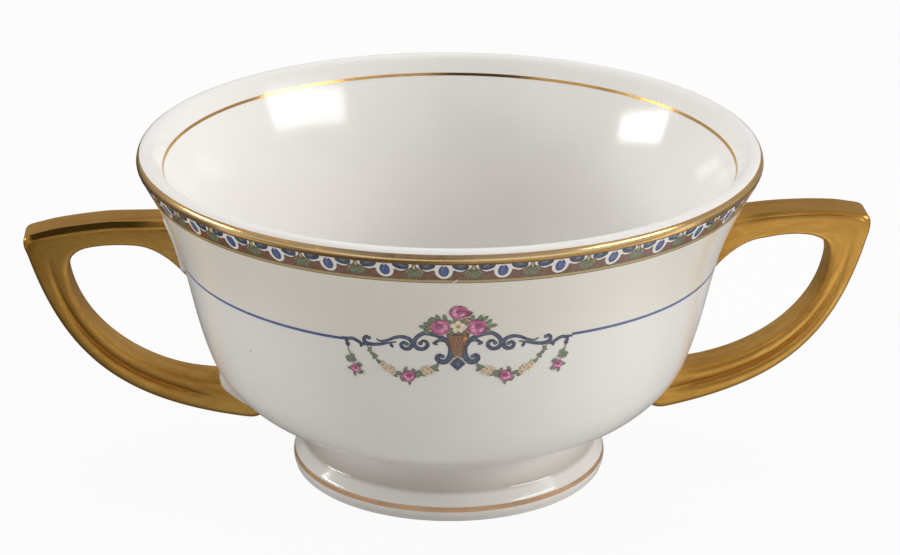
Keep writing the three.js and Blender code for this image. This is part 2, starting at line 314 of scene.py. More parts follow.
def goldMaterial(name, key, roughness, bump, metallic=1.0, layers=None):
    colour, rubbed = finish[key]
    values = {"Colour": colour, "Rubbed": rubbed, "Roughness": roughness}
    return skinMaterial(name, goldSkin, values, bump, metallic, finish["goldEdge"], layers)


def paintMaterial(name, thinning, roughness):
    values = {"Thinning": thinning, "Roughness": roughness, "Thin": finish["thinEnamel"]}
    return skinMaterial(name, enamelSkin, values, (0.3, 0.01 * mm), layers={"Colour": "paint"})


# painted shade: the glaze is painted darker in the crease of the foot and for some way above it
def paintCreaseShade(material, crease, below, above):
    tree = material.node_tree
    colour = tree.nodes["Principled BSDF"].inputs["Base Color"]
    height = splitPlace(tree, objectPlace(tree))["Z"]
    rising = between(tree, height, (crease - below, crease))
    falling = between(tree, height, (crease, crease + above), (1.0, 0.0))
    creaseShadeMask = calculate(tree, "MINIMUM", rising, falling)
    tree.links.new(mixColour(tree, creaseShadeMask, colour.links[0].from_socket, finish["creasePaintedShade"]), colour)


wear = {"scale": 420.0, "detail": 5.0, "roughness": 0.7, "span": (0.28, 0.5), "bared": 0.85}


# gold that has rubbed away in patches down to the brown under it, with a painted highlight: a brighter gold
# line along the band that stands in for a reflection
def wearAndPaintedHighlight(material, worn, paintedHighlight):
    tree = material.node_tree
    shader = tree.nodes["Principled BSDF"]
    colour = shader.inputs["Base Color"]
    noise = noiseFactor(tree, objectPlace(tree), wear["scale"], wear["detail"], wear["roughness"])
    rubbed = times(tree, layerValue(tree, worn), between(tree, noise, wear["span"]), True)
    highlighted = mixColour(tree, layerValue(tree, paintedHighlight), colour.links[0].from_socket, finish["paintedHighlightGold"])
    tree.links.new(mixColour(tree, rubbed, highlighted, finish["wornGold"]), colour)
    tree.links.new(minus(tree, 1.0, times(tree, rubbed, wear["bared"])), shader.inputs["Metallic"])


porcelain = glazeMaterial("porcelain_glaze", "porcelain", 0.10)
slip = glazeMaterial("slip_glaze", "slip", 0.0)
ivory = glazeMaterial("ivory_glaze", "ivory", 0.06)
# the foot's glaze is a darker copy of the porcelain's: painted shade
footShadedGlaze = glazeMaterial("foot_glaze_painted_shade", "foot", 0.06)
satinGold = goldMaterial("satin_gold", "satinGold", 0.42, (0.35, 0.03 * mm),
                         layers={"Burnish": "burnish", "Place": "lay"})
rimGold = goldMaterial("rim_gold", "rimGold", 0.17, (0.2, 0.01 * mm))
innerGold = goldMaterial("inner_line_gold", "rimGold", 0.17, (0.2, 0.01 * mm))
lineGold = goldMaterial("line_gold", "lineGold", 0.24, (0.25, 0.01 * mm), 0.3)
borderEnamel = paintMaterial("border_enamel", 0.12, 0.14)
flowerEnamel = paintMaterial("flower_enamel", 0.16, 0.16)
blueEnamel = paintMaterial("blue_enamel", 0.12, 0.14)
wearAndPaintedHighlight(rimGold, "worn", "paintedHighlight")
print("finishes made:", len(bpy.data.materials))


# the studio: a white floor, a broad light on each side and a dim room

studio = {
    "cameraTurn": -3.6,
    "cameraRise": 21.436,
    "cameraRoll": 0.209,
    "cameraDistance": 449.5 * mm,
    "aim": Vector((0.09 * mm, 0, 30.15 * mm)),
    "lens": 116.06,
    "lightTarget": Vector((0, 0, 40 * mm)),
    "lightDistance": 0.9,
}
# the softboxes show in the glaze and the gold, the broad fills only light them
lamps = {
    "right_softbox": {"turn": 64, "rise": 24, "roll": -9, "wide": 0.54, "high": 0.16, "power": 2.3},
    "left_softbox": {"turn": -97, "rise": 16, "roll": 7, "wide": 0.36, "high": 0.11, "power": 1.5},
    "right_fill": {"turn": 86, "rise": 17, "roll": 0, "wide": 0.9, "high": 0.4, "power": 1.7},
    "left_fill": {"turn": -97, "rise": 32, "roll": 0, "wide": 0.7, "high": 0.5, "power": 2.45},
    "top_fill": {"turn": 180, "rise": 78, "roll": 0, "wide": 0.9, "high": 0.9, "power": 3.2},
}


def aimed(turn, rise, roll, distance, target):
    turned = Matrix.Rotation(math.radians(turn), 4, "Z")
    tipped = Matrix.Rotation(math.radians(90 - rise), 4, "X")
    placed = Matrix.Translation(target) @ turned @ tipped @ Matrix.Translation((0, 0, distance))
    return placed @ Matrix.Rotation(math.radians(roll), 4, "Z")


def addObject(name, data):
    made = bpy.data.objects.new(name, data)
    scene.collection.objects.link(made)
    return made


def addCamera():
    view = bpy.data.cameras.new("camera")
    view.lens = studio["lens"]
    view.sensor_width = 36
    view.sensor_fit = "HORIZONTAL"
    view.clip_start = 0.01
    camera = addObject("camera", view)
    camera.matrix_world = aimed(studio["cameraTurn"], studio["cameraRise"], studio["cameraRoll"],
                                studio["cameraDistance"], studio["aim"])
    scene.camera = camera


def addLamp(name, size):
    lamp = bpy.data.lights.new(name, "AREA")
    lamp.shape = "RECTANGLE"
    lamp.size = size["wide"]
    lamp.size_y = size["high"]
    lamp.energy = size["power"]
    light = addObject(name, lamp)
    light.matrix_world = aimed(size["turn"], size["rise"], size["roll"],
                               studio["lightDistance"], studio["lightTarget"])
    light.visible_glossy = name.endswith("softbox")


# the floor looks white; in the gold and the glaze it is darker to the left, behind the cup and far in front
floor = {
    "size": 6.0,
    "white": (0.68, 0.68 * 0.97, 0.68 * 0.93, 1),
    "seen": 0.93,
    "sideSpan": (-0.08, 0.08),
    "side": (0.25, 1.35),
    "farLeftSpan": (-0.17, -0.11),
    "farLeft": (0.8, 0.0),
    "shadeSpan": (-0.035, -0.003),
    "shade": (1.0, 0.25),
    "farSpan": (-0.108, -0.082),
    "far": (0.4, 1.0),
}


def floorMaterial():
    material = bpy.data.materials.new("floor_white")
    material.use_nodes = True
    tree = material.node_tree
    tree.nodes.remove(tree.nodes["Principled BSDF"])
    matt = addNode(tree, "ShaderNodeBsdfDiffuse", {"Color": floor["white"]})
    path = addNode(tree, "ShaderNodeLightPath").outputs
    seen = path["Is Camera Ray"]
    mirrored = plus(tree, path["Is Glossy Ray"], path["Is Transmission Ray"], True)
    spot = splitPlace(tree, objectPlace(tree))
    sideways = calculate(tree, "MAXIMUM", between(tree, spot["X"], floor["sideSpan"], floor["side"]),
                         between(tree, spot["X"], floor["farLeftSpan"], floor["farLeft"]))
    shaded = between(tree, spot["Y"], floor["shadeSpan"], floor["shade"])
    far = between(tree, spot["Y"], floor["farSpan"], floor["far"])
    lit = times(tree, times(tree, times(tree, sideways, shaded), far), mirrored)
    glow = addNode(tree, "ShaderNodeEmission", {"Color": (1, 1, 1, 1), "Strength": plus(tree, seen, lit)})
    share = plus(tree, times(tree, seen, floor["seen"]), mirrored)
    blend = addNode(tree, "ShaderNodeMixShader", {"Fac": share})
    tree.links.new(matt.outputs[0], blend.inputs[1])
    tree.links.new(glow.outputs[0], blend.inputs[2])
    tree.links.new(blend.outputs[0], tree.nodes["Material Output"].inputs["Surface"])
    return material


def addFloor():
    shape = bmesh.new()
    bmesh.ops.create_grid(shape, x_segments=8, y_segments=8, size=floor["size"] / 2)
    mesh = bpy.data.meshes.new("floor")
    shape.to_mesh(mesh)
    shape.free()
    mesh.materials.append(floorMaterial())
    addObject("floor", mesh)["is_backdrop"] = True


# the room: a backdrop that reaches further up behind than in front and a ceiling lit on the right;
# a window high on the left and a doorway in front show only in the gold and the glaze
room = {
    "depth": (-0.7, 0.5),
    "wall": (0.43, 0.53),
    "ceilingSpan": (0.0, 0.12),
    "ceiling": (0.08, 0.64),
    "top": 0.57,
    "soft": 0.04,
    "slope": 0.42,
    "windowSpan": (-0.6, -0.45),
    "window": (0.6, 0.0),
    "doorwaySpan": (-0.9, -0.5),
    "doorway": (0.38, 0.0),
    "warmth": (1.0, 0.99, 0.98, 1),
}


def addRoom():
    scene.world = bpy.data.worlds.new("room")
    scene.world.use_nodes = True
    tree = scene.world.node_tree
    back = tree.nodes["Background"]
    path = addNode(tree, "ShaderNodeLightPath").outputs
    way = splitPlace(tree, addNode(tree, "ShaderNodeTexCoord").outputs["Generated"])
    height = minus(tree, way["Z"], times(tree, way["Y"], room["slope"]))
    rise = between(tree, height, (room["top"] - room["soft"], room["top"] + room["soft"]))
    wall = between(tree, way["Y"], room["depth"], room["wall"])
    ceiling = between(tree, way["X"], room["ceilingSpan"], room["ceiling"])
    window = times(tree, between(tree, way["X"], room["windowSpan"], room["window"]), rise)
    doorway = between(tree, way["Y"], room["doorwaySpan"], room["doorway"])
    doorway = times(tree, doorway, minus(tree, 1.0, rise))
    mirrored = times(tree, plus(tree, window, doorway), path["Is Glossy Ray"])
    lit = plus(tree, mixValue(tree, rise, wall, ceiling), mirrored)
    back.inputs["Color"].default_value = room["warmth"]
    tree.links.new(mixValue(tree, path["Is Camera Ray"], lit, 1.0), back.inputs["Strength"])


scene.view_settings.view_transform = "Standard"
addCamera()
for name, size in lamps.items():
    addLamp(name, size)
addFloor()
addRoom()
print("studio set")


# shapes shared by the pieces

def addPiece(name, shape, material, nodes, crisp=False):
    bmesh.ops.remove_doubles(shape, verts=shape.verts[:], dist=mergeDistance)
    bmesh.ops.recalc_face_normals(shape, faces=shape.faces[:])
    for face in shape.faces:
        face.smooth = True
    mesh = bpy.data.meshes.new(name)
    shape.to_mesh(mesh)
    shape.free()
    if crisp:
        mesh.set_sharp_from_angle(angle=math.radians(crispAngle))
    mesh.materials.append(material)
    piece = addObject(name, mesh)
    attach(piece, "root")
    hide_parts(*nodes)
    return piece


def point(radius, height):
    return Vector((radius, 0, height))


def runDown(lean):
    return -point(math.sin(math.radians(lean)), math.cos(math.radians(lean)))


def arcPoints(centre, radius, start, end, steps):
    angles = [math.radians(start + (end - start) * i / steps) for i in range(steps + 1)]
    return [centre + point(math.cos(a), math.sin(a)) * radius for a in angles]


def wallStretch(top, topLean, bottom, bottomLean, steps):
    reach = (top - bottom).length / 3
    leave = top + runDown(topLean) * reach
    arrive = bottom - runDown(bottomLean) * reach
    return interpolate_bezier(top, leave, arrive, bottom, steps)


def bend(start, corner, end, steps):
    return interpolate_bezier(start, start.lerp(corner, 2 / 3), end.lerp(corner, 2 / 3), end, steps)


def chain(*runs):
    points = list(runs[0])
    for run in runs[1:]:
        points += run[1:] if (run[0] - points[-1]).length < mergeDistance else run
    return points


def drawLine(shape, points, closed=False):
    verts = [shape.verts.new(p) for p in points]
    edges = [shape.edges.new(pair) for pair in zip(verts, verts[1:])]
    if closed:
        edges.append(shape.edges.new((verts[-1], verts[0])))
    return edges


def spun(points, closed=True, steps=240):
    shape = bmesh.new()
    drawLine(shape, points, closed)
    bmesh.ops.spin(shape, geom=shape.verts[:] + shape.edges[:], cent=(0, 0, 0), axis=(0, 0, 1),
                   angle=math.tau, steps=steps, use_merge=True)
    return shape


# the bowl, turned from one closed profile; a station is a radius, a height and a lean in degrees

bowlLow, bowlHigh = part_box("bowl")
bowl = {
    "rim": bowlHigh.x,
    "height": bowlHigh.z,
    "underside": bowlLow.z,
    "lip": 1.5 * mm,
    "wall": 2.7 * mm,
    "floor": 3.6 * mm,
    "flare": 28,
    "waist": (41.3 * mm, 35.9 * mm, 14),
    "heel": (37.2 * mm, 20.0 * mm, 21),
    "base": (31.4 * mm, 12.9 * mm, 55),
    "neck": 22.2 * mm,
    "lipSteps": 28,
    "wallSteps": 18,
}
lipCentre = point(bowl["rim"] - bowl["lip"], bowl["height"] - bowl["lip"])


def turnedWall(lip, stations):
    stops = [(*lip[-1].xz, bowl["flare"]), *stations]
    runs = [wallStretch(point(*a[:2]), a[2], point(*b[:2]), b[2], bowl["wallSteps"])
            for a, b in zip(stops, stops[1:])]
    return chain(lip, *runs)


def bowlOutside():
    lip = arcPoints(lipCentre, bowl["lip"], 90, -bowl["flare"], bowl["lipSteps"])
    under = (bowl["neck"], bowl["underside"], 90)
    return turnedWall(lip, [bowl["waist"], bowl["heel"], bowl["base"], under])


def bowlInside():
    lip = arcPoints(lipCentre, bowl["lip"], 90, 180 - bowl["flare"], bowl["lipSteps"] // 2)
    inner = [(station[0] - bowl["wall"], *station[1:]) for station in (bowl["waist"], bowl["heel"])]
    return turnedWall(lip, [*inner, (bowl["neck"], bowl["underside"] + bowl["floor"], 90)])


outside = bowlOutside()
inside = bowlInside()
axisFloor = point(0, inside[-1].z)
axisBase = point(0, outside[-1].z)
profile = chain([axisBase], outside[::-1], inside, [axisFloor])
addPiece("bowl_body", spun(profile, closed=False), porcelain, ["bowl"])
print("bowl turned:", len(profile), "profile points")


# where a height lies on a profile, and which way the wall faces there

def surfaceOf(points, side):
    return {"points": points, "falling": [-p.z for p in points], "side": side}


def surfaceAt(surface, height, lift=0.0):
    points = surface["points"]
    index = min(max(bisect_left(surface["falling"], -height), 1), len(points) - 1)
    above, below = points[index - 1], points[index]
    share = (above.z - height) / (above.z - below.z)
    run = (below - above).normalized()
    return above.lerp(below, share) + point(-run.z, run.x) * lift * surface["side"]


outerWall = surfaceOf(outside, 1)
innerWall = surfaceOf(inside, -1)


# the foot: a waisted neck, a crease, a sloping shoulder and a rounded swell on a flat rest

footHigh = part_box("foot_ring")[1]
foot = {
    "top": footHigh.z,
    "neckRun": point(0, -2.2 * mm),
    "crease": point(22.95 * mm, 4.45 * mm),
    "creaseStart": point(-0.07 * mm, 0.24 * mm),
    "creaseRun": point(-0.28 * mm, 1.4 * mm),
    "creaseEnd": 0.12,
    "shadeBelow": 0.55 * mm,
    "shadeAbove": 3.4 * mm,
    "shoulder": point(24.08 * mm, 2.85 * mm),
    "swell": point(footHigh.x, 1.3 * mm),
    "swellCorner": 2.25 * mm,
    "undercut": 0.2 * mm,
    "edge": 0.6 * mm,
    "rest": 2.2 * mm,
    "restCorner": point(-0.4 * mm, 0),
    "restEnd": point(-0.5 * mm, 0.6 * mm),
    "wall": 3.4 * mm,
    "innerRun": point(-0.6 * mm, 3 * mm),
    "innerTop": point(0, 4 * mm),
}


def footOutside():
    neck, shoulder, swell = point(bowl["neck"], foot["top"]), foot["shoulder"], foot["swell"]
    edge = point(swell.x - foot["undercut"], foot["edge"])
    rest = point(edge.x - foot["edge"], 0)
    above = foot["crease"] + foot["creaseStart"]
    below = foot["crease"].lerp(shoulder, foot["creaseEnd"])
    return chain(interpolate_bezier(neck, neck + foot["neckRun"], above + foot["creaseRun"], above, 20),
                 bend(above, foot["crease"], below, 8),
                 interpolate_bezier(below, below.lerp(shoulder, 0.5), shoulder.lerp(below, 0.25),
                                    shoulder, 6),
                 bend(shoulder, point(swell.x, foot["swellCorner"]), swell, 14),
                 bend(swell, point(swell.x, (swell.z + edge.z) / 2), edge, 6),
                 bend(edge, point(edge.x, 0), rest, 8))


def footInside():
    top = point(bowl["neck"] - foot["wall"], foot["top"])
    rest = point(footSide[-1].x - foot["rest"], 0)
    start = rest + foot["restEnd"]
    return chain(bend(rest, rest + foot["restCorner"], start, 6),
                 interpolate_bezier(start, start + foot["innerRun"], top - foot["innerTop"], top, 16))


paintCreaseShade(footShadedGlaze, foot["crease"].z, foot["shadeBelow"], foot["shadeAbove"])
footSide = footOutside()
addPiece("foot_body", spun(chain(footSide, footInside())), footShadedGlaze, ["foot_ring"])


# the slip between foot and bowl ends in a low bead round the neck
fillet = {
    "beadHeight": 7.9 * mm,
    "bead": 0.34 * mm,
    "beadFoot": 0.05 * mm,
    "beadRise": 0.5 * mm,
    "clear": 0.01 * mm,
    "spread": (0.8 * mm, 0.4 * mm),
    "curve": (0.1 * mm, 0.5 * mm),
    "roof": (0.4 * mm, 1.4 * mm, 0.5 * mm),
    "hollow": 1.6 * mm,
    "hollowDrop": 1.0 * mm,
    "hollowGap": 0.02 * mm,
}


def footFillet():
    inner, under, gap = bowl["neck"] - foot["wall"], bowl["underside"], fillet["hollowGap"]
    low = surfaceAt(surfaceOf(footSide, 1), fillet["beadHeight"], fillet["clear"])
    crown = low + point(fillet["bead"], fillet["beadRise"])
    out = point(crown.x + fillet["spread"][0], under + fillet["spread"][1])
    outer = chain(bend(low, low + point(fillet["bead"], fillet["beadFoot"]), crown, 8),
                  bend(crown, point(crown.x + fillet["curve"][0], under - fillet["curve"][1]), out, 16))
    outerRoof, innerRoof, rise = fillet["roof"]
    roof = [point(out.x - outerRoof, under + rise), point(inner - innerRoof, under + rise)]
    hollow = bend(point(inner - fillet["hollow"], under - gap), point(inner, under),
                  point(inner - gap, foot["top"] - fillet["hollowDrop"]), 10)
    return chain(outer, roof, hollow)


addPiece("foot_slip", spun(footFillet()), porcelain, ["foot_seam"])
print("foot turned")


# a handle: a level bar, a wing tip and a fluted sweep, lofted on rungs from the outer to the inner edge;
# the two were pulled from the mould a little differently

handle = {
    "half": 3.3 * mm,
    "barTop": 41.07,
    "bevel": 0.55,
    "bevelCurve": 0.8,
    "topSupport": 0.9,
    "edgeSoft": 0.11 * mm,
    "edgeRun": 0.55 * mm,
    "edgeLineWidth": 0.12 * mm,
    "sweepEdge": 1.0 * mm,
    "innerEdge": 0.9 * mm,
    "thinnest": 0.02 * mm,
    "pivot": point(50 * mm, 40 * mm),
    "grooveStart": 29,
    "grooveRise": 26,
    "grooveFade": 7,
    "grooveDepth": 0.85 * mm,
    "grooveWidth": 0.6 * mm,
    "polishStart": 4,
    "polishRise": 5,
    "polishEdge": 20,
    "stretch": 0.2,
    "across": [0, 0.006, 0.02, 0.045, 0.08, 0.12, 0.17, 0.22, 0.27, 0.32, 0.37, 0.41, 0.44, 0.465, 0.485,
               0.5, 0.515, 0.54, 0.575, 0.62, 0.67, 0.72, 0.77, 0.82, 0.87, 0.91, 0.945, 0.975, 1],
    "crownRows": (0.9, 0.95, 1.0, 1.05, 1.1),
    "right": {
        "crown": (0.8 * mm, 0.92 * mm, 0.95 * mm), "edgeLine": 0.2 * mm,
        "burnish": (0.2, 0.5), "edgeBurnish": 0.2,
        "grooveAt": (0.52, 0.52), "grooveEnd": 5,
        "tilt": 1.6, "reach": -0.1 * mm, "lift": 0.0,
        "rootTop": 40.42, "tipRise": 0.8, "heel": 33.0, "outerLow": 0.3,
        "rootDrop": 1.1, "innerBar": 0.2, "innerOut": 0.2, "innerLow": 0.15, "innerEnd": 15.62,
    },
    "left": {
        "crown": (0.78 * mm, 1.05 * mm, 1.2 * mm), "edgeLine": 0.0,
        "burnish": (0.2, 0.92), "edgeBurnish": 0.55,
        "grooveAt": (0.64, 0.5), "grooveEnd": 10,
        "tilt": -0.3, "reach": 0.02 * mm, "lift": 0.28 * mm,
        "rootTop": 40.98, "tipRise": -0.05, "heel": 31.4, "outerLow": -0.75,
        "rootDrop": 0.7, "innerBar": 0.1, "innerOut": -0.12, "innerLow": -0.95, "innerEnd": 14.6,
    },
}


def edgePoint(reach, height):
    return point(reach * mm, height * mm)


def outerOutline(own):
    top, rise, low, heelAt = handle["barTop"], own["tipRise"], own["outerLow"], own["heel"]
    root, barEnd = edgePoint(40.6, own["rootTop"]), edgePoint(51.7, top)
    shoulder, tip = edgePoint(60.5, 40.09 + rise * 0.8), edgePoint(63.8, 39.3 + rise)
    sweepTop, heel = edgePoint(64.55, 36.2), edgePoint(heelAt, 8.8 + low)
    return [
        interpolate_bezier(root, edgePoint(44, own["rootTop"]), edgePoint(48, top), barEnd, 12),
        bend(barEnd, edgePoint(56.4, 40.77 + rise * 0.5), shoulder, 12),
        chain(bend(shoulder, shoulder.lerp(tip, 0.5), tip, 5),
              bend(tip, edgePoint(65.8, 38.85 + rise), sweepTop, 10)),
        interpolate_bezier(sweepTop, edgePoint(59.8, 19.65), edgePoint(51.75, 12.12 + low * 1.2), heel, 40),
        bend(heel, edgePoint(heelAt - 2.8, 8.5 + low), edgePoint(heelAt - 3.1, 11.5), 8),
    ]


def innerOutline(own):
    raised, out, low, end = own["innerBar"], own["innerOut"], own["innerLow"], own["innerEnd"]
    under = 37.55 + raised - own["rootDrop"]
    root, bar = edgePoint(38.8, 29.6), edgePoint(48.6, under + 0.15)
    barEnd, heel = edgePoint(55.4, 36.75 + raised), edgePoint(35.8, end)
    eye, sweepTop = edgePoint(57.3 + out, 35.9 + raised), edgePoint(58.5 + out, 32.6)
    return [
        bend(root, edgePoint(43.6, under), bar, 12),
        bend(bar, edgePoint(52.4, 37.35 + raised), barEnd, 12),
        chain(bend(barEnd, edgePoint(56.4, 36.55 + raised), eye, 5),
              bend(eye, edgePoint(58.5 + out, 35.0 + raised), sweepTop, 10)),
        interpolate_bezier(sweepTop, edgePoint(57.1 + out, 22.6), edgePoint(46.8, 16.2 + low), heel, 40),
        bend(heel, edgePoint(33.5, end - 0.2), edgePoint(31.2, 14.6), 8),
    ]


# each rung has its two ends, how far it belongs to the sweep and the height of its crown
def handleRungs(own):
    outer, inner = outerOutline(own), innerOutline(own)
    root, middle, end = own["crown"]
    parts = [(0, 0, root, middle), (0, 0, middle, end), (0, 1, end, end)] + [(1, 1, end, end)] * 2
    marks = []
    for run, (start, stop, crown, crownEnd) in zip(outer, parts):
        for step in range(1 if marks else 0, len(run)):
            share = step / (len(run) - 1)
            marks.append((start + (stop - start) * share, crown + (crownEnd - crown) * share))
    return list(zip(chain(*outer), chain(*inner), marks))


def clamped(value):
    return min(max(value, 0), 1)


def easeIn(value):
    value = clamped(value)
    return value * value * (3 - 2 * value)


def edgeDrop(radius, distance):
    if distance >= radius:
        return 0.0
    return radius - math.sqrt(radius * radius - (radius - distance) ** 2)


def rungShares(width, crown):
    return sorted(handle["across"] + [crown * row / width for row in handle["crownRows"]])


# the bar is bevelled along its top, the sweep has a flat outer band, a groove and a round inner reed
def rungSection(outer, inner, swept, crown, reeded, grooveAt, edgeLine):
    width = (inner - outer).length
    along = (inner - outer).normalized()
    groove, half, deep = grooveAt * width, handle["half"], handle["grooveDepth"]
    reed = (width - groove) / 2
    bow = (reed * reed + deep * deep) / (2 * deep)
    near, far = [], []
    for share in rungShares(width, crown):
        depth = share * width
        crowned = handle["bevel"] * crown * (1 - min(depth / crown, 1) ** handle["bevelCurve"])
        crowned += handle["edgeSoft"] * max(1 - max(depth - crown, 0) / handle["edgeRun"], 0)
        crowned += edgeLine * math.exp(-((depth - crown) / handle["edgeLineWidth"]) ** 2)
        plain = edgeDrop(handle["innerEdge"], width - depth)
        if depth < groove:
            shaped = deep * math.exp(-((groove - depth) / handle["grooveWidth"]) ** 2)
        else:
            shaped = bow - math.sqrt(bow * bow - (depth - groove - reed) ** 2)
        drop = crowned * (1 - swept) + edgeDrop(handle["sweepEdge"], depth) * swept
        drop += plain * (1 - reeded) + shaped * reeded
        for side, way in ((near, -1), (far, 1)):
            side.append(outer + along * depth + Vector((0, way * max(half - drop, handle["thinnest"]), 0)))
    held = (near[0] - outer) * handle["topSupport"]
    return near + [inner] + far[::-1] + [outer - held, outer, outer + held]


# the bevel is burnished from the root on, and the edge under it more lightly; the burnish also paints the
# gold darker there, a painted dark reflection
def burnishRung(ring, layer, own, polish, width, swept, crown):
    shares = rungShares(width, crown)
    corners = [loopEdge.verts[0] for loopEdge in ring]
    for step, share in enumerate(shares):
        past = share * width - crown
        onCrown = polish * clamped(-past / crown * handle["polishEdge"])
        onEdge = own["edgeBurnish"] * (1 - swept) if 0 <= past < handle["edgeRun"] else 0.0
        for corner in (corners[step], corners[2 * len(shares) - step]):
            corner[layer] = max(onCrown, onEdge)


def buildHandle(name, side):
    own = handle[side]
    shape = bmesh.new()
    burnish = shape.verts.layers.float.new("burnish")
    lay = shape.verts.layers.float_vector.new("lay")
    rungs = handleRungs(own)
    rings = []
    along, before = 0.0, rungs[0][0]
    dull, bright = own["burnish"]
    for index, (outer, inner, (swept, crown)) in enumerate(rungs):
        run = index / (len(rungs) - 1)
        grooveAt = own["grooveAt"][0] * (1 - run) + own["grooveAt"][1] * run
        fromTip = (index - handle["grooveStart"]) / handle["grooveRise"]
        toRoot = (len(rungs) - own["grooveEnd"] - index) / handle["grooveFade"]
        reeded = easeIn(fromTip) * easeIn(toRoot)
        section = rungSection(outer, inner, swept, crown, reeded, grooveAt, own["edgeLine"])
        ring = drawLine(shape, section, closed=True)
        rings.append(ring)
        shine = easeIn((index - handle["polishStart"]) / handle["polishRise"])
        polish = (dull + (bright - dull) * shine) * math.sqrt(1 - swept)
        burnishRung(ring, burnish, own, polish, (inner - outer).length, swept, crown)
        middle = outer.lerp(inner, 0.5)
        along, before = along + (middle - before).length * handle["stretch"], middle
        for vert in {vert for loopEdge in ring for vert in loopEdge.verts}:
            vert[lay] = (along, (vert.co - outer).length, vert.co.y)
    for first, second in zip(rings, rings[1:]):
        bmesh.ops.bridge_loops(shape, edges=first + second)
    for ring in (rings[0], rings[-1]):
        bmesh.ops.edgeloop_fill(shape, edges=ring)
    verts = shape.verts[:]
    tipped = Matrix.Rotation(math.radians(-own["tilt"]), 3, "Y")
    bmesh.ops.rotate(shape, verts=verts, cent=handle["pivot"], matrix=tipped)
    bmesh.ops.translate(shape, verts=verts, vec=(own["reach"], 0, own["lift"]))
    if side == "left":
        bmesh.ops.rotate(shape, verts=verts, cent=(0, 0, 0), matrix=Matrix.Rotation(math.pi, 3, "Z"))
    piece = addPiece(name, shape, satinGold, ["handle_" + side])
    smooth = piece.modifiers.new("round", "SUBSURF")
    smooth.levels = smooth.render_levels = 1


for side in ("right", "left"):
    buildHandle("handle_" + side + "_wing", side)
print("handles lofted")


# gilding: closed bands that lie on the lip, inside the rim and round the foot

gilding = {
    "lift": 0.03 * mm,
    "thick": 0.02 * mm,
    "top": 43,
    "bottom": -6.5,
    "steps": 20,
    "wornAt": -6,
    "wornWide": 28,
    "wornShare": (0.15, 0.85),
    "wornRow": 12,
    "wornFade": 2,
    "highlightRow": 11,
    "highlightWide": 0.13 * mm,
    "lineDepth": 2.75 * mm,
    "lineWide": 0.42 * mm,
    "footHeight": 2.1 * mm,
    "footWide": 0.7 * mm,
}


def bandOn(surface, high, low, lift, thick, steps=6):
    heights = [high + (low - high) * i / steps for i in range(steps + 1)]
    outer = [surfaceAt(surface, z, lift) for z in heights]
    back = [surfaceAt(surface, z, lift - thick) for z in heights]
    return outer + back[::-1]


# the rim's band is worn along its upper edge, most of all at the front, and carries a painted highlight
# line across its middle
def gildRim():
    top, bottom, radius = gilding["top"], gilding["bottom"], bowl["lip"] + gilding["lift"]
    outer = arcPoints(lipCentre, radius, top, bottom, gilding["steps"])
    shape = spun(outer + arcPoints(lipCentre, radius - gilding["thick"], bottom, top, gilding["steps"]))
    worn = shape.verts.layers.float.new("worn")
    paintedHighlight = shape.verts.layers.float.new("paintedHighlight")
    wornHeight, highlightHeight = outer[gilding["wornRow"]].z, outer[gilding["highlightRow"]].z
    around, atFront = gilding["wornShare"]
    for vert in shape.verts:
        front = math.degrees(math.atan2(vert.co.x, -vert.co.y))
        handled = around + atFront * math.exp(-((front - gilding["wornAt"]) / gilding["wornWide"]) ** 2)
        upper = (vert.co.z - wornHeight) / (outer[0].z - wornHeight) * gilding["wornFade"]
        vert[worn] = handled * clamped(upper)
        # painted highlight: a narrow row of brighter gold
        vert[paintedHighlight] = math.exp(-((vert.co.z - highlightHeight) / gilding["highlightWide"]) ** 2)
    addPiece("rim_gold_band", shape, rimGold, ["rim_gilding"], crisp=True)


def gildLine(name, surface, top, wide, material, node):
    band = bandOn(surface, top, top - wide, gilding["lift"], gilding["thick"])
    addPiece(name, spun(band), material, [node], crisp=True)


gildRim()
gildLine("inner_gold_line", innerWall, bowl["height"] - gilding["lineDepth"], gilding["lineWide"],
         innerGold, "inner_gilt_line")
gildLine("foot_gold_line", surfaceOf(footSide, 1), gilding["footHeight"] + gilding["footWide"] / 2,
         gilding["footWide"], lineGold, "foot_gilt_line")
print("gilding laid")


# the prints: flat sheets painted in their own colours, given a thickness and wrapped on the wall

printWork = {
    "thick": 0.008 * mm,
    "coat": 0.0007 * mm,
    "base": 0.040 * mm,
    "outlines": 0.012 * mm,
    "petals": 0.026 * mm,
    "chip": 0.03 * mm,
    "basket": 0.025 * mm,
    "flowers": 0.05 * mm,
}


def tone(red, green, blue):
    return Vector((*[((c / 255 + 0.055) / 1.055) ** 2.4 for c in (red, green, blue)], 1))


def startPrint(raised=0.0):
    shape = bmesh.new()
    paint = shape.verts.layers.float_color.new("paint")
    return {"shape": shape, "paint": paint, "lift": printWork["base"] + raised}


def nextCoat(sheet):
    sheet["lift"] += printWork["coat"]
    return -sheet["lift"]


# one touch of the brush: a round or pointed spot with its own edge and heart colours
def dab(sheet, centre, size, edge, heart=None, turn=0.0, tip=0.0, sides=12):
    made = bmesh.ops.create_circle(sheet["shape"], cap_ends=True, cap_tris=True, segments=sides, radius=1.0)
    cos, sin = math.cos(math.radians(turn)), math.sin(math.radians(turn))
    coat = nextCoat(sheet)
    for vert in made["verts"]:
        across, up = vert.co.x, vert.co.y
        vert[sheet["paint"]] = heart if heart and across * across + up * up < 0.5 else edge
        x = across * size[0] * (1 - tip * max(up, 0) ** 1.5) * mm
        z = up * size[1] * mm
        vert.co = (centre[0] * mm + x * cos - z * sin, coat, centre[1] * mm + x * sin + z * cos)


